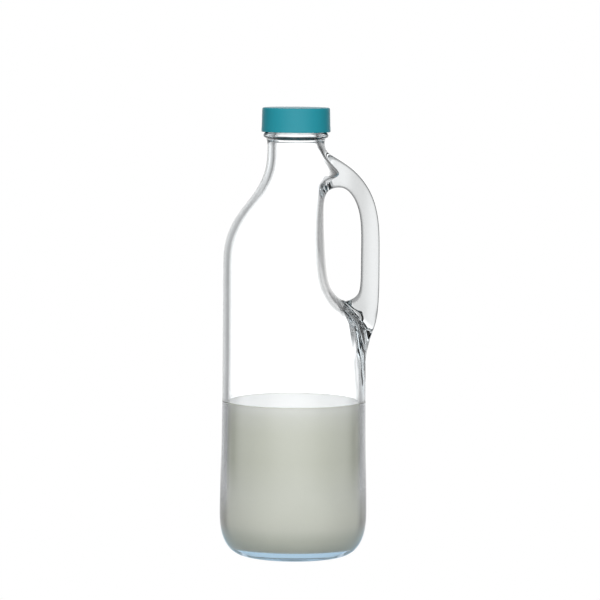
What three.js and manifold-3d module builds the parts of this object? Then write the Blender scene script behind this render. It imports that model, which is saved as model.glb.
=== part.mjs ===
// A one-piece clear glass carafe with a grip handle, a screw cap and a part filling of milk.
// Millimetres, +Z up. The origin is the centre of the flat base, on the bottle's own axis.
// The handle is towards +X, and the body is drawn in behind it so that fingers pass through along Y.
import * as THREE from "three";
import { mergeVertices } from "three/addons/utils/BufferGeometryUtils.js";
import Module from "manifold-3d";

const wasm = await Module();
wasm.setup();

// Driving dimensions of the glass
const aroundBody = 40; // columns of every turned shape
const baseFlatRadius = 32.2;
const heelRadius = 48.4; // the widest point, at the top of the rounded heel
const heelHeight = 26.3;
const heelSquareness = 0.92;
const sideRadius = 47.5;
const flareHeight = 120; // the side widens from here down to the heel
const shoulderStart = 195;
const shoulderRound = 50;
const neckRound = 40;
const neckRadius = 18.7;
const neckStart = 262.8;
const neckStraight = 5;
const wall = 4.4;
const shoulderWall = 3.7;
const floorThickness = 5.4;
const hollowHeelWidth = 15.6;
const hollowHeelHeight = 23.3;
const boreRadius = 14;
const boreStart = 275;

// Transfer bead below the cap, and the plain finish inside it
const collarHeight = 275.3;
const collarRadius = 21.4;
const collarHalf = 2;
const collarNeckRadius = 19.4;
const finishRadius = 19.8;
const finishStart = 277.9;
const lipHeight = 291.6;
const lipRound = 1.3;
const pastLip = 293; // the hollow's shape runs on through the mouth

// The recess behind the handle: how far it stands from the axis at each height
const gripDepth = 19.1;
const gripLean = 0.05; // it runs outwards by this much, down from this height
const gripLeanFrom = 226;
const gripLedgeReach = 40;
const gripLedgeMiddle = 159;
const gripLedgeLength = 6;
const gripEdgeRound = 12;
const innerGripDepth = 16.8;
const innerLedgeReach = 24.5;
const innerLedgeMiddle = 158;
const innerLedgeLength = 11;
const innerThickReach = 14; // the thick glass under the ledge ends about here
const innerThickMiddle = 104;
const innerThickLength = 6;
const innerEdgeRound = 10;
const innerRootReach = 0.8; // the wall is thinner at the handle's upper root
const innerRootMiddle = 241;
const innerRootLength = 7;
const wallBesideFoot = 4.6; // the ledge is this thick away from the handle's foot
const footWidth = 12;
const gripTop = 263; // the recess ends in the neck
const gripTopLength = 2;
const gripTopRelease = 40;
const neckEdgeRound = 2.5;
const edgeFadeMiddle = 236;
const edgeFadeLength = 5;

// The pocket that the bubble of air leaves in the handle's upper root
const pocketReach = 14;
const pocketHeight = 250.5;
const pocketUp = 10.5;
const pocketDown = 4.3;
const pocketSide = 6;

// The handle from its upper root to its foot: inner edge, outer edge and half depth along Y
const handleStations = [
  { inner: [12, 233], outer: [12, 267], half: 8.5 },
  { inner: [17.6, 235.2], outer: [18.2, 267], half: 8.5 },
  { inner: [21.4, 239.4], outer: [23.2, 262.6], half: 8 },
  { inner: [26.5, 241.5], outer: [30, 259.2], half: 7.5 },
  { inner: [32.5, 240.8], outer: [38, 253.3], half: 7.1 },
  { inner: [37.6, 235.4], outer: [45.3, 245], half: 6.8 },
  { inner: [41.6, 226], outer: [51.5, 233.5], half: 6.6 },
  { inner: [43, 214], outer: [54.8, 217.5], half: 6.5 },
  { inner: [42.9, 196], outer: [55.3, 197], half: 6.5 },
  { inner: [42.8, 179], outer: [55.4, 176], half: 6.6 },
  { inner: [41.3, 172], outer: [55, 165], half: 6.9 },
  { inner: [36.5, 168.5], outer: [53.3, 154], half: 7.6 },
  { inner: [30, 168], outer: [50.3, 144.6], half: 8.6 },
  { inner: [24, 168], outer: [47, 136], half: 9 },
  { inner: [19, 166], outer: [42, 130], half: 8 },
];
const aroundHandle = 18;
const ringsPerStation = 3;
const handleInnerSquareness = 0.45;
const handleOuterSquareness = 0.36;

// Cap
const capBottom = 277.9;
const capTop = 293.8;
const capBottomRadius = 22.6;
const capTopRadius = 22.1;
const capEdgeRound = 0.9;
const capRimChamfer = 0.3;
const capBoreRadius = 20.2;
const capRoof = 1.7;

// Milk
const milkLevel = 101.8;
const milkGap = 0.45;
const milkRimStep = 1; // no ring of the side lies closer to the level than this

const glass = new THREE.MeshStandardMaterial({
  name: "clear_glass",
  color: 0xe4eeee,
  roughness: 0.03,
  metalness: 0,
  transparent: true,
  opacity: 0.35,
});
const capPlastic = new THREE.MeshStandardMaterial({
  name: "teal_plastic",
  color: 0x339cab,
  roughness: 0.45,
  metalness: 0,
});
const milkWhite = new THREE.MeshStandardMaterial({
  name: "milk",
  color: 0xf1f1ea,
  roughness: 0.3,
  metalness: 0,
});

const point = (x, z) => new THREE.Vector2(x, z);

// Points of an arc in the radius and height plane, angles in degrees from outward.
function arcPoints(centreX, centreZ, radiusX, radiusZ, from, to, steps, squareness = 1) {
  const points = [];
  for (let i = 0; i <= steps; i++) {
    const angle = THREE.MathUtils.degToRad(from + ((to - from) * i) / steps);
    const across = Math.cos(angle);
    const up = Math.sin(angle);
    points.push(
      point(
        centreX + radiusX * Math.sign(across) * Math.abs(across) ** squareness,
        centreZ + radiusZ * Math.sign(up) * Math.abs(up) ** squareness,
      ),
    );
  }
  return points;
}

// Two arcs and the straight line that touches both, from the side up into the neck.
function shoulderPoints(radiusBelow, radiusAbove, roundBelow, roundAbove) {
  const across = radiusAbove + roundAbove - (radiusBelow - roundBelow);
  const up = neckStart - shoulderStart;
  const distance = Math.hypot(across, up);
  const turn = THREE.MathUtils.radToDeg(
    Math.atan2(up, across) - Math.acos((roundBelow + roundAbove) / distance),
  );
  return [
    ...arcPoints(radiusBelow - roundBelow, shoulderStart, roundBelow, roundBelow, 0, turn, 6),
    ...arcPoints(radiusAbove + roundAbove, neckStart, roundAbove, roundAbove, 180 + turn, 180, 6),
  ];
}

// The side from the heel up to the shoulder, widening towards the heel.
function sidePoints(startHeight, inset, steps) {
  const points = [];
  for (let i = 1; i < steps; i++) {
    const z = startHeight + ((shoulderStart - startHeight) * i) / steps;
    const low = Math.max(0, 1 - (z - heelHeight) / (flareHeight - heelHeight));
    points.push(point(sideRadius - inset + (heelRadius - sideRadius) * low ** 1.5, z));
  }
  return points;
}

// A profile turned round the Z axis as a closed shape.
function turned(points, columns) {
  return new THREE.LatheGeometry(points, columns).rotateX(Math.PI / 2);
}

function moveVertices(geometry, move) {
  const positions = geometry.getAttribute("position");
  const vertex = new THREE.Vector3();
  for (let i = 0; i < positions.count; i++) {
    vertex.fromBufferAttribute(positions, i);
    move(vertex);
    positions.setXYZ(i, vertex.x, vertex.y, vertex.z);
  }
  return geometry;
}

// 1 well below the middle height and 0 well above it.
const below = (z, middle, length) => 1 / (1 + Math.exp((z - middle) / length));

function smoothMin(a, b, round) {
  const share = Math.max(round - Math.abs(a - b), 0) / round;
  return Math.min(a, b) - (share * share * round) / 4;
}

// 1 at the centre and fading to 0 over the width.
const bell = (from, width) => Math.exp(-((from / width) ** 2));

// Draws the +X side of the body in to the recess, as a flatter oval.
function drawIn(geometry, depthAt, edgeRound) {
  return moveVertices(geometry, (v) => {
    const radius = Math.hypot(v.x, v.y);
    if (v.x <= 0 || radius === 0) return;
    const round = neckEdgeRound + edgeRound * below(v.z, edgeFadeMiddle, edgeFadeLength);
    const released = gripTopRelease * (1 - below(v.z, gripTop, gripTopLength));
    v.x *= smoothMin(radius, depthAt(v.z, v.y) + released, round) / radius;
  });
}

const lean = (z) => gripLean * Math.max(0, gripLeanFrom - z);

const outerGrip = (z) =>
  gripDepth + lean(z) + gripLedgeReach * below(z, gripLedgeMiddle, gripLedgeLength);

// Thick at the handle's foot, with a more even wall beside it.
function innerGrip(z, y) {
  const foot =
    innerGripDepth +
    lean(z) +
    innerLedgeReach * below(z, innerLedgeMiddle, innerLedgeLength) +
    innerThickReach * below(z, innerThickMiddle, innerThickLength) +
    innerRootReach * bell(z - innerRootMiddle, innerRootLength);
  const beside = Math.max(foot, outerGrip(z) - wallBesideFoot);
  return beside + (foot - beside) * bell(y, footWidth);
}

function outerShape() {
  const heelWidth = heelRadius - baseFlatRadius;
  const profile = [
    point(0, 0),
    point(baseFlatRadius / 2, 0),
    ...arcPoints(baseFlatRadius, heelHeight, heelWidth, heelHeight, -90, 0, 7, heelSquareness),
    ...sidePoints(heelHeight, 0, 16),
    ...shoulderPoints(sideRadius, neckRadius, shoulderRound, neckRound),
    point(neckRadius, neckStart + neckStraight),
    point(collarNeckRadius, collarHeight - collarHalf - 1),
    ...arcPoints(collarNeckRadius, collarHeight, collarRadius - collarNeckRadius, collarHalf, -80, 80, 6),
    point(finishRadius, finishStart),
    ...arcPoints(finishRadius - lipRound, lipHeight - lipRound, lipRound, lipRound, 0, 90, 3),
    point(0, lipHeight),
  ];
  return drawIn(turned(profile, aroundBody), outerGrip, gripEdgeRound);
}

// The profile of the hollow up to the shoulder.
function hollowSide() {
  const cornerHeight = floorThickness + hollowHeelHeight;
  const cornerRadius = heelRadius - wall - hollowHeelWidth;
  return [
    point(0, floorThickness),
    point(cornerRadius / 2, floorThickness),
    ...arcPoints(cornerRadius, cornerHeight, hollowHeelWidth, hollowHeelHeight, -90, 0, 6, heelSquareness),
    ...sidePoints(cornerHeight, wall, 13),
  ];
}

function hollowShape() {
  const profile = [
    ...hollowSide(),
    ...shoulderPoints(sideRadius - wall, boreRadius, shoulderRound - wall, neckRound + shoulderWall),
    point(boreRadius, boreStart),
    ...arcPoints(boreRadius + lipRound, lipHeight - lipRound, lipRound, lipRound, 180, 100, 3),
    point(boreRadius + lipRound, pastLip),
    point(0, pastLip),
  ];
  const shape = drawIn(turned(profile, aroundBody), innerGrip, innerEdgeRound);
  return moveVertices(shape, (v) => {
    if (v.x <= 0) return;
    const rise = v.z - pocketHeight;
    const reach = bell(rise, rise > 0 ? pocketUp : pocketDown) * bell(v.y, pocketSide);
    v.x += pocketReach * reach * Math.min(v.x / boreRadius, 1);
  });
}

// A closed cylinder bent through the stations, with an oval section squared off.
function handleShape() {
  const steps = (handleStations.length - 1) * ringsPerStation;
  const inner = new THREE.SplineCurve(handleStations.map((s) => point(...s.inner)));
  const outer = new THREE.SplineCurve(handleStations.map((s) => point(...s.outer)));
  const halfDepth = new THREE.SplineCurve(handleStations.map((s, i) => point(i, s.half)));
  const squared = (c, outward) =>
    Math.sign(c) * Math.abs(c) ** (outward ? handleOuterSquareness : handleInnerSquareness);
  return moveVertices(new THREE.CylinderGeometry(1, 1, 1, aroundHandle, steps), (v) => {
    const along = THREE.MathUtils.clamp(0.5 - v.y, 0, 1);
    const from = inner.getPoint(along);
    const to = outer.getPoint(along);
    const depth = halfDepth.getPoint(along).y;
    const outward = v.x > 0;
    const across = (1 + squared(v.x, outward)) / 2;
    const side = squared(-v.z, outward);
    v.set(from.x + (to.x - from.x) * across, depth * side, from.y + (to.y - from.y) * across);
  });
}

function solidOf(geometry) {
  const plain = geometry.clone();
  plain.deleteAttribute("normal");
  plain.deleteAttribute("uv");
  const merged = mergeVertices(plain, 1e-4);
  const mesh = new wasm.Mesh({
    numProp: 3,
    vertProperties: merged.attributes.position.array,
    triVerts: new Uint32Array(merged.index.array),
  });
  return new wasm.Manifold(mesh);
}

function geometryOf(solid) {
  const mesh = solid.getMesh();
  return new THREE.BufferGeometry()
    .setAttribute("position", new THREE.BufferAttribute(mesh.vertProperties, 3))
    .setIndex(new THREE.BufferAttribute(mesh.triVerts, 1));
}

function bottle() {
  const solid = solidOf(outerShape()).add(solidOf(handleShape())).subtract(solidOf(hollowShape()));
  return geometryOf(solid);
}

function cap() {
  const profile = [
    point(0, capTop - capRoof),
    point(capBoreRadius, capTop - capRoof),
    point(capBoreRadius, capBottom),
    point(capBottomRadius - capRimChamfer, capBottom),
    point(capBottomRadius, capBottom + capRimChamfer),
    ...arcPoints(capTopRadius - capEdgeRound, capTop - capEdgeRound, capEdgeRound, capEdgeRound, 0, 90, 3),
    point(0, capTop),
  ];
  return turned(profile, aroundBody);
}

function milk() {
  const floor = floorThickness + milkGap;
  const side = hollowSide()
    .filter((p) => p.y < milkLevel - milkRimStep)
    .map((p) => point(Math.max(p.x - milkGap, 0), Math.max(p.y, floor)));
  const rim = side[side.length - 1].x;
  const shape = turned([...side, point(rim, milkLevel), point(0, milkLevel)], aroundBody);
  return drawIn(shape, (z, y) => innerGrip(z, y) - milkGap, innerEdgeRound);
}

function piece(name, geometry, material) {
  const mesh = new THREE.Mesh(geometry, material);
  mesh.name = name;
  return mesh;
}

const carafe = new THREE.Group();
carafe.add(piece("bottle", bottle(), glass));
carafe.add(piece("cap", cap(), capPlastic));
carafe.add(piece("milk", milk(), milkWhite));

export default carafe;
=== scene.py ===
# Glass milk carafe: smooth clear glass over the bottle, milk against the wall, satin teal cap.
import math

import bmesh
import bpy
from mathutils import Matrix, Vector


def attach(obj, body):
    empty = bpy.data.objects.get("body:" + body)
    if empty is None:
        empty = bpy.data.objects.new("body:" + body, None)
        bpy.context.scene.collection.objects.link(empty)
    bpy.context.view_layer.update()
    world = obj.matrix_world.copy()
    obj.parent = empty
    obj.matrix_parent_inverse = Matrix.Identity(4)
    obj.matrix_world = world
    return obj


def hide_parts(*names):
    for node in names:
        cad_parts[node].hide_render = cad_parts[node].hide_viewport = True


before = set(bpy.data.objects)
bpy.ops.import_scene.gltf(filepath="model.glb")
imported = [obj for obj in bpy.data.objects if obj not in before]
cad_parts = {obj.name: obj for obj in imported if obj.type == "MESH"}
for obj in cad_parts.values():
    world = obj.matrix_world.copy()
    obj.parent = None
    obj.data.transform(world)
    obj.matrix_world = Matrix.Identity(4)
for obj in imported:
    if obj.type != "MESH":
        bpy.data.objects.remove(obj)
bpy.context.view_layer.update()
print("frame loaded:", ", ".join(sorted(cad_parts)))

metres = 0.001  # shapes are in millimetres until a mesh is finished, places in materials in metres
fineness = 2  # subdivision steps of every piece


# The camera stands where the photo's stood, and its roll follows the bottle's slight lean there
camera = {
    "place": (3.5, -2156, 354.9),
    "aim": (3.5, 0, 167.9),
    "lens": 198.24,
    "sensor": 36,
    "roll": 0.008,
}


def makeCamera():
    data = bpy.data.cameras.new("camera")
    data.lens = camera["lens"]
    data.sensor_width = camera["sensor"]
    data.clip_start = 0.1
    data.clip_end = 100
    eye = bpy.data.objects.new("camera", data)
    place = Vector(camera["place"]) * metres
    look = Vector(camera["aim"]) * metres - place
    turned = look.to_track_quat("-Z", "Y").to_matrix().to_4x4() @ Matrix.Rotation(camera["roll"], 4, "Z")
    eye.matrix_world = Matrix.Translation(place) @ turned
    bpy.context.scene.collection.objects.link(eye)
    bpy.context.scene.camera = eye


# Shape of the bottle; points are (radius, height)
body = {
    "columns": 40,
    "swell": 1.004,  # what the subdivision takes off a turned cage
    "pushUp": ((0, 1.8), (9, 1.7), (18, 1.3), (25, 0.55), (29.5, 0)),
    "baseFlat": 32.2,
    "heelRadius": 48.4,
    "heelHeight": 26.3,
    "heelSquare": 0.92,
    "heelSteps": 7,
    "sideRadius": 47.5,
    "flareHeight": 120,
    "flarePower": 1.5,
    "shoulderStart": 195,
    "shoulderRound": 50,
    "neckRound": 40,
    "neckRadius": 18.7,
    "neckStart": 262.8,
    "collar": (
        (18.7, 270.6),
        (19.25, 272.5),
        (19.5, 273.7),
        (20.6, 274.1),
        (21.3, 274.8),
        (21.5, 275.8),
        (21.3, 276.8),
        (20.6, 277.3),
        (19.7, 277.6),
        (19.7, 279),
    ),
    "lip": ((19.8, 284), (19.8, 289), (19.6, 290.8), (18.8, 291.5), (17.8, 291.6)),
    "innerLip": ((14, 288.5), (14.1, 290.3), (14.7, 291.3), (15.7, 291.6)),
    "wall": 4.4,
    "shoulderWall": 3.7,
    "floor": 5.4,
    "floorShares": (0, 0.35, 0.7),  # rings of the floor, by the way from the axis to its corner
    "hollowHeelWide": 15.6,
    "hollowHeelHigh": 23.3,
    "bore": 14,
    "sideRings": (34, 44, 57, 72, 88, 104, 117, 127, 134),
    "footRings": (137.6, 141.2, 144.8, 148.4, 152, 155.6, 159.2, 162.8, 166.4, 170),
    "upperRings": (176, 182, 189, 196, 203, 210, 217, 223.5, 230),
    "rootRings": (236.5, 244, 251.5, 259, 266.5),
    "hollowRings": (40, 54, 70, 86, *range(100, 240, 10), 237),
    "pocketRings": (241, 244.5, 247, 249, 251, 253.5, 256.5, 260, 264, 269, 275, 282),
}

# The flat side behind the handle
grip = {
    "depth": 19.1,
    "lean": 0.05,  # the wall behind the grip runs outwards by this much, down from leanFrom
    "leanFrom": 226,
    "ledgeReach": 40,
    "ledgeMiddle": 159,
    "ledgeLength": 6,
    "edgeRound": 12,
    "innerDepth": 16.8,
    "innerReach": 24.5,
    "innerMiddle": 158,
    "innerLength": 11,
    "thickReach": 14,
    "thickMiddle": 104,
    "thickLength": 6,
    "innerRound": 10,
    "top": 263,
    "topLength": 2,
    "release": 40,
    "neckRound": 2.5,
    "fadeMiddle": 236,
    "fadeLength": 5,
    "wallBeside": 4.6,
    "footWidth": 12,
    "rootReach": 0.8,
    "rootMiddle": 241,
    "rootLength": 7,
}

# The air pocket in the handle's upper root
pocket = {"reach": 14, "height": 250.5, "up": 10.5, "down": 4.3, "side": 6}

# Handle stations, upper root to foot: inner edge x z, outer edge x z, half depth
handle = {
    "around": 24,
    "innerSquare": 0.56,
    "outerSquare": 0.36,
    "between": 2,
    "stations": (
        (21, 239.4, 21.6, 264.2, 7.9),
        (25.5, 241.5, 28.3, 260.3, 7.5),
        (32, 241.3, 37.3, 254.2, 7.1),
        (37.6, 235.8, 45.3, 245.6, 6.8),
        (41.4, 226.5, 51.5, 234, 6.6),
        (42.9, 214, 54.9, 218, 6.5),
        (42.9, 196, 55.4, 197, 6.5),
        (42.8, 180, 55.4, 177, 6.6),
        (41.4, 172.4, 55, 166, 6.8),
        (37, 168.9, 54.2, 157.6, 7.2),
        (34, 168, 52.7, 151.2, 7.3),
        (31.2, 168.2, 50.6, 145.8, 6.2),
    ),
    "upperPatch": (34, 236.5, 266.5),  # half angle and heights of the opening that a root grows from
    "footPatch": (9, 134, 170),
    "footSpread": 1.2,
    "soften": 3,
}


def below(z, middle, length):
    # 1 well below the middle, 0 well above it
    return 1 / (1 + math.exp((z - middle) / length))


def smoothMin(a, b, rounding):
    share = max(rounding - abs(a - b), 0) / rounding
    return min(a, b) - share * share * rounding / 4


def heelPoints(centre, radii):
    # a quarter of a slightly squared oval, from under the centre to beside it
    points = []
    for i in range(body["heelSteps"] + 1):
        angle = math.radians(-90 + 90 * i / body["heelSteps"])
        across, up = math.cos(angle), math.sin(angle)
        across = math.copysign(abs(across) ** body["heelSquare"], across)
        up = math.copysign(abs(up) ** body["heelSquare"], up)
        points.append((centre[0] + radii[0] * across, centre[1] + radii[1] * up))
    return points


def shoulderRadius(z, wide, narrow, wideRound, narrowRound):
    # an arc off the side, a straight slope that touches both arcs, an arc into the neck
    start, end = body["shoulderStart"], body["neckStart"]
    across, up = narrow + narrowRound - wide + wideRound, end - start
    turn = math.atan2(up, across) - math.acos((wideRound + narrowRound) / math.hypot(across, up))
    lowZ, highZ = start + wideRound * math.sin(turn), end - narrowRound * math.sin(turn)
    lowR, highR = wide - wideRound * (1 - math.cos(turn)), narrow + narrowRound * (1 - math.cos(turn))
    if z < lowZ:
        return wide - wideRound + math.sqrt(wideRound**2 - max(z - start, 0) ** 2)
    if z < highZ:
        return lowR + (highR - lowR) * (z - lowZ) / (highZ - lowZ)
    return narrow + narrowRound - math.sqrt(narrowRound**2 - min(z - end, 0) ** 2)


def sideRadius(z, inset):
    low = max(0, 1 - (z - body["heelHeight"]) / (body["flareHeight"] - body["heelHeight"]))
    flare = (body["heelRadius"] - body["sideRadius"]) * low ** body["flarePower"]
    return body["sideRadius"] - inset + flare


def outerRadius(z):
    if z < body["shoulderStart"]:
        return sideRadius(z, 0)
    return shoulderRadius(
        z, body["sideRadius"], body["neckRadius"], body["shoulderRound"], body["neckRound"]
    )


def innerRadius(z):
    if z < body["shoulderStart"]:
        return sideRadius(z, body["wall"])
    return shoulderRadius(
        z,
        body["sideRadius"] - body["wall"],
        body["bore"],
        body["shoulderRound"] - body["wall"],
        body["neckRound"] + body["shoulderWall"],
    )


def outerProfile():
    heel = heelPoints(
        (body["baseFlat"], body["heelHeight"]),
        (body["heelRadius"] - body["baseFlat"], body["heelHeight"]),
    )
    rings = body["sideRings"] + body["footRings"] + body["upperRings"] + body["rootRings"]
    side = [(outerRadius(z), z) for z in rings]
    return [*body["pushUp"], *heel, *side, *body["collar"], *body["lip"]]


def innerProfile(reach=0.0, top=None):
    # the hollow's profile; reach carries it into the glass, top leaves out the rings above it
    floor = body["floor"]
    corner = body["heelRadius"] - body["wall"] - body["hollowHeelWide"]
    points = [(corner * share, floor) for share in body["floorShares"]]
    points += heelPoints(
        (corner, floor + body["hollowHeelHigh"]), (body["hollowHeelWide"], body["hollowHeelHigh"])
    )
    rings = body["hollowRings"] + body["pocketRings"]
    points += [(innerRadius(z), z) for z in rings if top is None or z < top]
    if top is None:
        points += body["innerLip"]
    carried = []
    for r, z in points:
        sunk = reach if z < floor + 1 else 0
        carried.append((r + reach if r else 0, max(z, floor) - sunk))
    return carried


def spun(bm, points, swell=body["swell"]):
    # turns a profile round the axis and gives back the new vertices
    before = set(bm.verts)
    verts = [bm.verts.new((r * swell, 0, z)) for r, z in points]
    edges = [bm.edges.new(pair) for pair in zip(verts, verts[1:])]
    bmesh.ops.spin(
        bm,
        geom=verts + edges,
        cent=(0, 0, 0),
        axis=(0, 0, 1),
        angle=2 * math.pi,
        steps=body["columns"],
        use_merge=True,
    )
    made = [v for v in bm.verts if v not in before]
    bmesh.ops.remove_doubles(bm, verts=made, dist=0.001)
    return [v for v in bm.verts if v not in before]


def lean(z):
    return grip["lean"] * max(0, grip["leanFrom"] - z)


def outerGrip(z, y=0.0):
    # the same at every y, which only innerGrip needs
    return grip["depth"] + lean(z) + grip["ledgeReach"] * below(z, grip["ledgeMiddle"], grip["ledgeLength"])


def innerGrip(z, y):
    # thick at the handle's foot, an even wall beside it
    ledge = grip["innerReach"] * below(z, grip["innerMiddle"], grip["innerLength"])
    thick = grip["thickReach"] * below(z, grip["thickMiddle"], grip["thickLength"])
    rise = grip["rootReach"] * math.exp(-(((z - grip["rootMiddle"]) / grip["rootLength"]) ** 2))
    foot = grip["innerDepth"] + lean(z) + ledge + thick + rise
    beside = max(foot, outerGrip(z) - grip["wallBeside"])
    return beside + (foot - beside) * math.exp(-((y / grip["footWidth"]) ** 2))


def flattenGrip(verts, depthAt, edgeRound, reach=0.0):
    # squeezes the handle's side of each ring to a flatter oval
    for v in verts:
        radius = math.hypot(v.co.x, v.co.y)
        if v.co.x <= 0 or radius == 0:
            continue
        z = v.co.z
        rounding = grip["neckRound"] + edgeRound * below(z, grip["fadeMiddle"], grip["fadeLength"])
        released = grip["release"] * (1 - below(z, grip["top"], grip["topLength"]))
        depth = depthAt(z, v.co.y) + released + reach
        v.co.x *= smoothMin(radius, depth, rounding) / radius


def pushPocket(verts):
    for v in verts:
        if v.co.x <= 0:
            continue
        rise = v.co.z - pocket["height"]
        tall = math.exp(-((rise / (pocket["up"] if rise > 0 else pocket["down"])) ** 2))
        wide = math.exp(-((v.co.y / pocket["side"]) ** 2))
        v.co.x += pocket["reach"] * tall * wide * min(v.co.x / body["bore"], 1)


def patchFaces(bm, patch):
    half, low, high = math.radians(patch[0]), patch[1], patch[2]
    faces = []
    for f in bm.faces:
        c = f.calc_center_median()
        if c.x > 0 and abs(math.atan2(c.y, c.x)) < half and low < c.z < high:
            faces.append(f)
    return faces


def openPatch(bm, patch):
    # takes the patch out and gives back the edges of the hole
    faces = patchFaces(bm, patch)
    rim = [e for e in {e for f in faces for e in f.edges} if sum(f in faces for f in e.link_faces) == 1]
    bmesh.ops.delete(bm, geom=faces, context="FACES")
    return rim


def spline(stations, count):
    # more stations on a smooth curve through the given ones
    made = []
    for i in range(len(stations) - 1):
        a, b, c, d = (stations[max(0, min(k, len(stations) - 1))] for k in (i - 1, i, i + 1, i + 2))
        for j in range(count):
            t = j / count
            made.append(
                [
                    q + 0.5 * t * (r - p + t * (2 * p - 5 * q + 4 * r - s + t * (3 * (q - r) + s - p)))
                    for p, q, r, s in zip(a, b, c, d)
                ]
            )
    made.append(list(stations[-1]))
    return made


def handleRing(bm, station):
    innerX, innerZ, outerX, outerZ, half = station
    made = bmesh.ops.create_circle(bm, segments=handle["around"], radius=1)["verts"]
    for v in made:
        square = handle["outerSquare"] if v.co.x > 0 else handle["innerSquare"]
        across = math.copysign(abs(v.co.x) ** square, v.co.x)
        side = math.copysign(abs(v.co.y) ** square, v.co.y)
        share = (1 + across) / 2
        v.co = (innerX + (outerX - innerX) * share, half * side, innerZ + (outerZ - innerZ) * share)
    return list({e for v in made for e in v.link_edges})


def growHandle(bm, upperRim, footRim):
    for v in {v for e in footRim for v in e.verts}:
        v.co.y *= handle["footSpread"]
    rings = [handleRing(bm, s) for s in spline(handle["stations"], handle["between"])]
    for first, second in zip([upperRim] + rings, rings + [footRim]):
        bmesh.ops.bridge_loops(bm, edges=first + second)
    joint = {v for ring in (upperRim, rings[0], rings[-1], footRim) for e in ring for v in e.verts}
    for turn in range(handle["soften"]):
        bmesh.ops.smooth_vert(
            bm, verts=list(joint), factor=0.5, use_axis_x=True, use_axis_y=True, use_axis_z=True
        )


def finishMesh(name, bm, material):
    bmesh.ops.recalc_face_normals(bm, faces=bm.faces[:])
    bmesh.ops.scale(bm, vec=(metres,) * 3, verts=bm.verts[:])
    for f in bm.faces:
        f.smooth = True
    mesh = bpy.data.meshes.new(name)
    bm.to_mesh(mesh)
    bm.free()
    piece = bpy.data.objects.new(name, mesh)
    bpy.context.scene.collection.objects.link(piece)
    mesh.materials.append(material)
    smooth = piece.modifiers.new("smooth", "SUBSURF")
    smooth.levels = smooth.render_levels = fineness
    return piece


def makeBottle(material):
    bm = bmesh.new()
    spun(bm, outerProfile())
    upperRim = openPatch(bm, handle["upperPatch"])
    footRim = openPatch(bm, handle["footPatch"])
    flattenGrip(bm.verts[:], outerGrip, grip["edgeRound"])
    growHandle(bm, upperRim, footRim)
    inner = spun(bm, innerProfile())
    flattenGrip(inner, innerGrip, grip["innerRound"])
    pushPocket(inner)
    lips = [e for e in bm.edges if e.is_boundary]
    bmesh.ops.bridge_loops(bm, edges=lips)
    return finishMesh("bottle_glass", bm, material)


milk = {
    "level": 101.8,
    "reach": 0.15,
    "meniscus": 0.3,
    "ringGap": 3,  # no ring of the hollow is taken over this close below the level
    "sideTop": 1.5,
    "edge": ((0, 1), (0.5, 0.8), (1.6, 0.3), (3.5, 0), (8, 0)),  # way in from the rim, share of the meniscus
}


def makeMilk(material):
    bm = bmesh.new()
    level = milk["level"]
    side = innerProfile(milk["reach"], level - milk["ringGap"])
    rim = innerRadius(level) + milk["reach"]
    top = [(rim, level - milk["sideTop"])]
    top += [(rim - inward, level + milk["meniscus"] * share) for inward, share in milk["edge"]]
    top += [(rim / 2, level), (0, level)]
    made = spun(bm, side + top)
    flattenGrip(made, innerGrip, grip["innerRound"], milk["reach"])
    return finishMesh("milk_fill", bm, material)


# The cap's profile runs from under the roof down the bore, round the lower rim and up to the top
cap = {
    "swell": 1.002,
    "roof": ((0, 292.1), (10, 292.1), (19.2, 292.1)),
    "bore": ((20.2, 291.8), (20.2, 285.8), (20.2, 278.3)),
    "lowerRim": ((20.4, 277.9), (22.25, 277.9), (22.55, 278.05), (22.6, 278.4)),
    "band": ((22.6, 279.9), (22.57, 280.5), (22.45, 281.1)),
    "side": ((22.25, 290.8), (22.15, 292.6), (22.05, 293.25)),
    "top": ((21.7, 293.68), (21.15, 293.8), (19.65, 293.8), (12, 293.8), (0, 293.8)),
}


def makeCap(material):
    bm = bmesh.new()
    profile = [point for part in ("roof", "bore", "lowerRim", "band", "side", "top") for point in cap[part]]
    spun(bm, profile, cap["swell"])
    return finishMesh("cap_shell", bm, material)


# Materials
def newMaterial(name):
    material = bpy.data.materials.new(name)
    material.use_nodes = True
    nodes, links = material.node_tree.nodes, material.node_tree.links
    nodes.clear()
    out = nodes.new("ShaderNodeOutputMaterial")
    shader = nodes.new("ShaderNodeBsdfPrincipled")
    links.new(shader.outputs["BSDF"], out.inputs["Surface"])
    return material, nodes, links, shader, out


def addPlace(nodes, links, kind="Object"):
    # the place on the piece, whole and as X, Y and Z
    where = nodes.new("ShaderNodeTexCoord").outputs[kind]
    split = nodes.new("ShaderNodeSeparateXYZ")
    links.new(where, split.inputs["Vector"])
    return where, split.outputs


def addNoise(nodes, links, scale, detail=2.0):
    where = nodes.new("ShaderNodeTexCoord")
    noise = nodes.new("ShaderNodeTexNoise")
    noise.inputs["Scale"].default_value = scale
    noise.inputs["Detail"].default_value = detail
    links.new(where.outputs["Object"], noise.inputs["Vector"])
    return noise.outputs["Fac"]


def addBump(nodes, links, shader, height, depth):
    # on top of the relief that the shader has already
    bump = nodes.new("ShaderNodeBump")
    bump.inputs["Strength"].default_value = 1
    bump.inputs["Distance"].default_value = depth
    links.new(height, bump.inputs["Height"])
    if shader.inputs["Normal"].is_linked:
        links.new(shader.inputs["Normal"].links[0].from_socket, bump.inputs["Normal"])
    links.new(bump.outputs["Normal"], shader.inputs["Normal"])
    return bump


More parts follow.
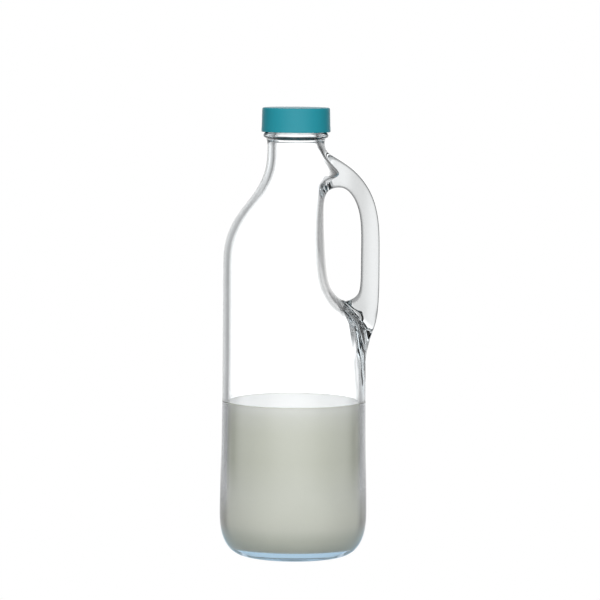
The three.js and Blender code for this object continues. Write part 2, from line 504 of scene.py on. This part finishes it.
def addRamp(nodes, links, stops, source, kind="LINEAR"):
    # a curve through (position, value) pairs
    ramp = nodes.new("ShaderNodeValToRGB")
    ramp.color_ramp.interpolation = kind
    made = ramp.color_ramp.elements
    for stop in stops[1:-1]:
        made.new(stop[0])
    for stop, (position, value) in zip(made, stops):
        stop.position, stop.color = position, (value, value, value, 1)
    links.new(source, ramp.inputs["Fac"])
    return ramp.outputs["Color"]


def addMapRange(nodes, links, source, low, high, kind="SMOOTHSTEP"):
    ranged = nodes.new("ShaderNodeMapRange")
    ranged.interpolation_type = kind
    ranged.inputs["From Min"].default_value = low
    ranged.inputs["From Max"].default_value = high
    links.new(source, ranged.inputs["Value"])
    return ranged.outputs["Result"]


def addMath(nodes, links, operation, a, b):
    worked = nodes.new("ShaderNodeMath")
    worked.operation = operation
    links.new(a, worked.inputs[0])
    links.new(b, worked.inputs[1])
    return worked.outputs["Value"]


def addBands(nodes, links, *bands):
    # the product of smooth steps, each given as a source and its two ends
    product = None
    for source, ends in bands:
        band = addMapRange(nodes, links, source, *ends)
        product = addMath(nodes, links, "MULTIPLY", product, band) if product else band
    return product


def addVectorMath(nodes, links, operation, source, other=None):
    worked = nodes.new("ShaderNodeVectorMath")
    worked.operation = operation
    links.new(source, worked.inputs[0])
    if other:
        worked.inputs[1].default_value = other
    return worked.outputs


def addMix(nodes, links, factor, a, b, blend="MIX"):
    # a and b are colours or sockets
    mixed = nodes.new("ShaderNodeMix")
    mixed.data_type = "RGBA"
    mixed.blend_type = blend
    links.new(factor, mixed.inputs["Factor"])
    for socket, value in (("A", a), ("B", b)):
        if isinstance(value, tuple):
            mixed.inputs[socket].default_value = value
        else:
            links.new(value, mixed.inputs[socket])
    return mixed.outputs["Result"]


glassLook = {
    "ior": 1.52,
    "tint": (0.1, 0.45, 0.62, 1),
    "density": 6,
    "waveScale": 22,
    "waveDepth": 0.00012,
    "rim": (  # painted shade: how bright the glass's colour stays, from facing to grazing
        (0, 1),
        (0.5, 1),
        (0.54, 0.85),
        (0.57, 0.7),
        (0.6, 0.44),
        (0.633, 0.3),
        (0.72, 0.26),
        (0.77, 0.14),
        (0.84, 0.06),
        (1, 0.03),
    ),
    "rimAboveBase": (0.01, 0.025),
    "middleHeights": (196, 204, 212, 220, 228, 236, 244, 252, 263),
    "middleSpan": 300,  # millimetres that the positions of the wall's ramp run over
    "middleReach": 100,  # and that its values do
    "middleBlend": (-0.01, 0.01),
    "handleSide": (0, 0.006),  # from here on, and above the next, the painted edge shade falls on inner surfaces too
    "handleSideAbove": (0.135, 0.15),
    "handleFrom": (0.0195, 0.025),
    "handleSlant": (0.197, 0.204),  # x and z added, which leaves out the foot
    # painted shade in the thick handle, on top of the absorption
    "thick": (0.57, 0.565, 0.56, 1),
    "gapShade": (0.46, 0.455, 0.45, 1),  # painted shade, darkest beside the finger gap, between the next two
    "gapOuter": (0.052, 0.043),
    "gapInner": (0.031, 0.04),
}

foldLook = {
    "turn": 0.35,
    "scale": (150, 60, 40),
    "depth": 0.0012,
    "low": (0.108, 0.125),
    "high": (0.172, 0.16),
    "footSlant": (1, 0, 0.37),
    "footEdge": (0.086, 0.092),
}

# The crease is a line of (x, z), and its ramp holds x tenfold
creaseLook = {
    "line": (
        (0.0505, 0.1487),
        (0.0475, 0.1495),
        (0.0448, 0.1512),
        (0.0435, 0.154),
        (0.0438, 0.1573),
        (0.0422, 0.1605),
        (0.0385, 0.1628),
        (0.0347, 0.166),
        (0.0325, 0.1685),
    ),
    "span": (0.14, 0.175),
    "stretch": 10,
    "width": 0.0014,
    "depth": 0.004,
    "lowEnd": (0.147, 0.1485),
    "highEnd": (0.17, 0.1675),
}


def outsideMask(nodes, links, where, split):
    # where the painted edge shade goes: 1 outside the middle of the wall, and on both surfaces by the handle
    span, reach = glassLook["middleSpan"], glassLook["middleReach"]
    stops = [(z / span, (outerRadius(z) + innerRadius(z)) / 2 / reach) for z in glassLook["middleHeights"]]
    stops = [(0, stops[0][1])] + stops + [(1, stops[-1][1])]
    height = addMapRange(nodes, links, split["Z"], 0, span * metres, "LINEAR")
    middle = addRamp(nodes, links, stops, height)
    flat = addVectorMath(nodes, links, "MULTIPLY", where, (1, 1, 0))
    away = addVectorMath(nodes, links, "LENGTH", flat["Vector"])
    ratio = addMapRange(nodes, links, away["Value"], 0, reach * metres, "LINEAR")
    beyond = addMath(nodes, links, "SUBTRACT", ratio, middle)
    outside = addMapRange(nodes, links, beyond, *glassLook["middleBlend"])
    byHandle = addBands(
        nodes, links, (split["X"], glassLook["handleSide"]), (split["Z"], glassLook["handleSideAbove"])
    )
    return addMath(nodes, links, "MAXIMUM", outside, byHandle)


def addFolds(nodes, links, shader, where, split):
    # folds that the pressed glass keeps where the handle's foot runs into the body
    run = nodes.new("ShaderNodeMapping")
    run.inputs["Rotation"].default_value = (0, foldLook["turn"], 0)
    run.inputs["Scale"].default_value = foldLook["scale"]
    links.new(where, run.inputs["Vector"])
    noise = nodes.new("ShaderNodeTexNoise")
    noise.inputs["Scale"].default_value = 1
    noise.inputs["Detail"].default_value = 1
    links.new(run.outputs["Vector"], noise.inputs["Vector"])
    aslant = addVectorMath(nodes, links, "DOT_PRODUCT", where, foldLook["footSlant"])
    area = addBands(
        nodes,
        links,
        (split["Z"], foldLook["low"]),
        (split["Z"], foldLook["high"]),
        (aslant["Value"], foldLook["footEdge"]),
    )
    folds = addBump(nodes, links, shader, noise.outputs["Fac"], foldLook["depth"])
    links.new(area, folds.inputs["Strength"])


def addCrease(nodes, links, shader, split):
    # the longest fold, a wavy line between the handle and its foot
    low, high = creaseLook["span"]
    stretch, width = creaseLook["stretch"], creaseLook["width"]
    rise = addMapRange(nodes, links, split["Z"], low, high, "LINEAR")
    stops = [((z - low) / (high - low), x * stretch) for x, z in creaseLook["line"]]
    line = addRamp(nodes, links, stops, rise, "CARDINAL")
    across = nodes.new("ShaderNodeMath")
    across.operation = "MULTIPLY_ADD"
    across.inputs[1].default_value = -1 / stretch
    links.new(line, across.inputs[0])
    links.new(split["X"], across.inputs[2])
    depth = addBands(
        nodes,
        links,
        (across.outputs["Value"], (width, 0)),
        (across.outputs["Value"], (-width, 0)),
        (split["Z"], creaseLook["lowEnd"]),
        (split["Z"], creaseLook["highEnd"]),
    )
    addBump(nodes, links, shader, depth, creaseLook["depth"])


def glassMaterial():
    # painted shade, on top of the glass's own absorption: a little darker where it is thick, in the handle,
    # and along grazing edges
    material, nodes, links, shader, out = newMaterial("clear_glass")
    where, split = addPlace(nodes, links)
    slant = addMath(nodes, links, "ADD", split["X"], split["Z"])
    inHandle = addBands(
        nodes, links, (split["X"], glassLook["handleFrom"]), (slant, glassLook["handleSlant"])
    )
    besideGap = addBands(
        nodes, links, (split["X"], glassLook["gapOuter"]), (split["X"], glassLook["gapInner"])
    )
    # painted shade: grey in the handle, darker still beside the finger gap
    grey = addMix(nodes, links, besideGap, glassLook["thick"], glassLook["gapShade"])
    paintedShade = addMix(nodes, links, inHandle, (1, 1, 1, 1), grey)
    edge = nodes.new("ShaderNodeLayerWeight")
    edge.inputs["Blend"].default_value = 0.5
    # painted shade: the colour darkens towards grazing edges
    rim = addRamp(nodes, links, glassLook["rim"], edge.outputs["Facing"])
    aboveBase = addMapRange(nodes, links, split["Z"], *glassLook["rimAboveBase"])
    outside = outsideMask(nodes, links, where, split)
    rimmed = addMath(nodes, links, "MULTIPLY", aboveBase, outside)
    shaded = addMix(nodes, links, rimmed, paintedShade, rim, "MULTIPLY")
    links.new(shaded, shader.inputs["Base Color"])
    shader.inputs["Transmission Weight"].default_value = 1
    shader.inputs["Roughness"].default_value = 0
    shader.inputs["IOR"].default_value = glassLook["ior"]
    addBump(nodes, links, shader, addNoise(nodes, links, glassLook["waveScale"]), glassLook["waveDepth"])
    addFolds(nodes, links, shader, where, split)
    addCrease(nodes, links, shader, split)
    absorb = nodes.new("ShaderNodeVolumeAbsorption")
    absorb.inputs["Color"].default_value = glassLook["tint"]
    absorb.inputs["Density"].default_value = glassLook["density"]
    links.new(absorb.outputs["Volume"], out.inputs["Volume"])
    return material


milkLook = {
    "light": (0.84, 0.843, 0.726, 1),
    "dark": (0.82, 0.826, 0.706, 1),
    "cloudScale": 14,
    # painted light: the near white that the milk's colour turns to, partly low down, fully just under the
    # level, partly on its top
    "top": (0.985, 0.985, 0.915, 1),
    "rough": 0.5,
    "ior": 1.35,
    "underTop": (0.6, 0.3),  # millimetres below the level: glass beside it up to one, air from the other
    "film": (0.94, 0.945, 0.97, 1),
    "filmRough": 0.03,
    "span": 110,  # millimetres of height that the next two run over
    "filmShare": ((0, 1), (0.07, 1), (0.075, 0), (0.25, 0), (0.42, 0.75), (0.917, 0.75), (0.919, 1), (1, 1)),
    # painted light: how far the colour turns to the near white, by height
    "paintedLightShare": (
        (0, 0),
        (0.14, 0),
        (0.2, 0.4),
        (0.4, 0.36),
        (0.6, 0),
        (0.77, 0.1),
        (0.86, 0.5),
        (0.905, 1),
        (0.918, 1),
        (0.924, 0.4),
        (1, 0.4),
    ),
}


def milkMaterial():
    # gloss: a mirror-like top, and beside it the bright edge that the glass wall shows; painted light: the
    # colour is lighter in a band low down and lightest just under the level
    material, nodes, links, shader, out = newMaterial("milk")
    clouds = addNoise(nodes, links, milkLook["cloudScale"])
    shade = addMix(nodes, links, clouds, milkLook["dark"], milkLook["light"])
    where, split = addPlace(nodes, links)
    height = addMapRange(nodes, links, split["Z"], 0, milkLook["span"] * metres, "LINEAR")
    # painted light: lighter in a band low down, lightest just under the level
    paintedLightShare = addRamp(nodes, links, milkLook["paintedLightShare"], height)
    links.new(addMix(nodes, links, paintedLightShare, shade, milkLook["top"]), shader.inputs["Base Color"])
    shader.inputs["Roughness"].default_value = milkLook["rough"]
    shader.inputs["Specular IOR Level"].default_value = 0
    bend = nodes.new("ShaderNodeMapRange")
    for name, depth in zip(("From Min", "From Max"), milkLook["underTop"]):
        bend.inputs[name].default_value = (milk["level"] - depth) * metres
    bend.inputs["To Min"].default_value = 1 / glassLook["ior"]
    bend.inputs["To Max"].default_value = milkLook["ior"]
    links.new(split["Z"], bend.inputs["Value"])
    fresnel = nodes.new("ShaderNodeFresnel")
    links.new(bend.outputs["Result"], fresnel.inputs["IOR"])
    filmShare = addRamp(nodes, links, milkLook["filmShare"], height)
    gloss = nodes.new("ShaderNodeBsdfGlossy")
    gloss.inputs["Color"].default_value = milkLook["film"]
    gloss.inputs["Roughness"].default_value = milkLook["filmRough"]
    both = nodes.new("ShaderNodeMixShader")
    links.new(addMath(nodes, links, "MULTIPLY", fresnel.outputs["Fac"], filmShare), both.inputs["Fac"])
    links.new(shader.outputs["BSDF"], both.inputs[1])
    links.new(gloss.outputs["BSDF"], both.inputs[2])
    links.new(both.outputs["Shader"], out.inputs["Surface"])
    return material


capLook = {
    "light": (0.0078, 0.228, 0.287, 1),
    "dark": (0.0062, 0.211, 0.265, 1),
    "shadeScale": 90,
    "rough": 0.42,
    "gloss": 0.3,
    "grainScale": 900,
    "grainDetail": 4,
    "grainDepth": 0.00002,
}


def capMaterial():
    material, nodes, links, shader, out = newMaterial("teal_plastic")
    shade = addNoise(nodes, links, capLook["shadeScale"])
    links.new(addMix(nodes, links, shade, capLook["dark"], capLook["light"]), shader.inputs["Base Color"])
    shader.inputs["Roughness"].default_value = capLook["rough"]
    shader.inputs["Specular IOR Level"].default_value = capLook["gloss"]
    grain = addNoise(nodes, links, capLook["grainScale"], capLook["grainDetail"])
    addBump(nodes, links, shader, grain, capLook["grainDepth"])
    return material


# Studio: a white backdrop behind the bottle, grey beside it, a large soft light above the camera
studio = {
    "glassLight": 1.6,
    "seenInGlass": (
        (0, 0.8),
        (0.047, 0.7),
        (0.146, 0.4),
        (0.33, 0.35),
        (0.5, 0.45),
        (0.62, 0.25),
        (0.64, 0.02),
        (0.72, 0.02),
        (0.745, 0.12),
        (0.821, 0.24),
        (0.877, 0.36),
        (0.924, 0.48),
        (0.949, 0.57),
        (0.962, 0.78),
        (0.972, 0.97),
        (1, 1),
    ),
    "softLight": (0, -0.9, 0.43),  # where the light on the milk and the cap comes from
    "mattLight": 2.66,
    "onMatt": ((0, 0.06), (0.35, 0.04), (0.5, 0.05), (0.65, 0.12), (0.8, 0.4), (0.92, 0.9), (1, 1)),
    "onMattBehind": ((0, 0), (0.9, 0), (0.95, 0.6), (1, 0.9)),  # from the backdrop
    "floorRadius": 600,
    "floorSides": 96,
    "floorFade": 0.4,  # share of the radius where the floor starts to thin out
    # painted shadow of the glass on the floor: blue-tinted and darker within these radii, seen only in the
    # glass and in reflections
    "floorNearTo": (0.05, 0.14),
    "floorTintedShadow": (0.5, 0.68, 0.82, 1),
    "floorFar": (0.85, 0.85, 0.86, 1),
    "floorDim": (0.26, 0.26, 0.25, 1),
}


def makeFloor():
    radius = studio["floorRadius"] * metres
    bm = bmesh.new()
    bmesh.ops.create_circle(bm, cap_ends=True, segments=studio["floorSides"], radius=radius)
    mesh = bpy.data.meshes.new("floor")
    bm.to_mesh(mesh)
    bm.free()
    floor = bpy.data.objects.new("floor", mesh)
    bpy.context.scene.collection.objects.link(floor)
    material = bpy.data.materials.new("floor_paper")
    material.use_nodes = True
    nodes, links = material.node_tree.nodes, material.node_tree.links
    nodes.clear()
    where = nodes.new("ShaderNodeTexCoord")
    away = addVectorMath(nodes, links, "LENGTH", where.outputs["Object"])["Value"]
    path = nodes.new("ShaderNodeLightPath")
    # painted shadow: near the bottle the floor seen in the glass turns blue-tinted and darker
    shadowNear = addMapRange(nodes, links, away, *studio["floorNearTo"])
    seen = addMix(nodes, links, shadowNear, studio["floorTintedShadow"], studio["floorFar"])
    lit = addMix(nodes, links, path.outputs["Diffuse Depth"], seen, studio["floorDim"])
    shown = addMix(nodes, links, path.outputs["Is Camera Ray"], lit, (1, 1, 1, 1))
    glow = nodes.new("ShaderNodeEmission")
    links.new(shown, glow.inputs["Color"])
    clear = nodes.new("ShaderNodeBsdfTransparent")
    edge = nodes.new("ShaderNodeMixShader")
    links.new(addMapRange(nodes, links, away, radius * studio["floorFade"], radius), edge.inputs["Fac"])
    links.new(glow.outputs["Emission"], edge.inputs[1])
    links.new(clear.outputs["BSDF"], edge.inputs[2])
    out = nodes.new("ShaderNodeOutputMaterial")
    links.new(edge.outputs["Shader"], out.inputs["Surface"])
    mesh.materials.append(material)


def makeWorld():
    world = bpy.data.worlds.new("studio")
    bpy.context.scene.world = world
    world.use_nodes = True
    nodes, links = world.node_tree.nodes, world.node_tree.links
    nodes.clear()
    where, split = addPlace(nodes, links, "Generated")
    path = nodes.new("ShaderNodeLightPath")
    turn = addMapRange(nodes, links, split["Y"], -1, 1, "LINEAR")  # from behind the camera to the backdrop
    toward = addVectorMath(nodes, links, "DOT_PRODUCT", where, studio["softLight"])
    facing = addMapRange(nodes, links, toward["Value"], -1, 1, "LINEAR")
    inGlass = addRamp(nodes, links, studio["seenInGlass"], turn)
    onMatt = addMath(
        nodes,
        links,
        "ADD",
        addRamp(nodes, links, studio["onMatt"], facing),
        addRamp(nodes, links, studio["onMattBehind"], turn),
    )
    lights = []
    for colour, strength in ((inGlass, studio["glassLight"]), (onMatt, studio["mattLight"]), (None, 1)):
        light = nodes.new("ShaderNodeBackground")
        light.inputs["Color"].default_value = (1, 1, 1, 1)
        light.inputs["Strength"].default_value = strength
        if colour:
            links.new(colour, light.inputs["Color"])
        lights.append(light.outputs["Background"])
    shown = lights[0]
    for factor, other in (("Diffuse Depth", lights[1]), ("Is Camera Ray", lights[2])):
        choose = nodes.new("ShaderNodeMixShader")
        links.new(path.outputs[factor], choose.inputs["Fac"])
        links.new(shown, choose.inputs[1])
        links.new(other, choose.inputs[2])
        shown = choose.outputs["Shader"]
    out = nodes.new("ShaderNodeOutputWorld")
    links.new(shown, out.inputs["Surface"])


makeCamera()
makeFloor()
makeWorld()
scene = bpy.context.scene
scene.view_settings.view_transform = "Standard"
scene.cycles.use_denoising = True
scene.cycles.max_bounces = 40
scene.cycles.transmission_bounces = 24
scene.cycles.glossy_bounces = 12
scene.cycles.diffuse_bounces = 6
print("studio ready")

pieces = (
    (makeBottle(glassMaterial()), "bottle", "clear_glass"),
    (makeMilk(milkMaterial()), "milk", "milk"),
    (makeCap(capMaterial()), "cap", "teal_plastic"),
)
for piece, node, slot in pieces:
    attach(piece, "root")
    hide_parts(node)
    print(piece.name, "stands for", node)
